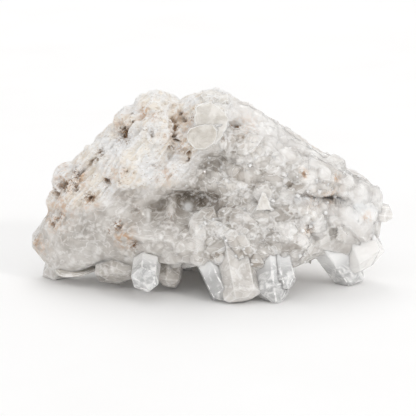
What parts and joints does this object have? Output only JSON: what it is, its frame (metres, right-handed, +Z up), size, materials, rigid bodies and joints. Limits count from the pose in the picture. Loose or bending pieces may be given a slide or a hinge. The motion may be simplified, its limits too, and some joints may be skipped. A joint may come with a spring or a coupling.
{
  "type": "quartz crystal cluster",
  "caption": "Natural hand specimen of milky quartz on pale matrix, crusted with quartz points over its front, right end and underside; stands on its lowest points.",
  "frame": {"origin": "middle of the bounding box, on the plane that the cluster stands on", "axes": "+Z up, +X along the length with the sloping, crystal-covered end at +X, -Y the crystal-covered front"},
  "size_m": [0.12, 0.061, 0.065],
  "materials": {
    "milky_quartz": "milky translucent quartz with glassy facets",
    "pale_matrix": "rough chalky white to cream rock, with tan and brown iron stains in its pits",
    "clear_quartz": "clear to smoky glassy crystal"
  },
  "bodies": {
    "root": {"quartz_cluster": "milky_quartz"}
  },
  "joints": []
}
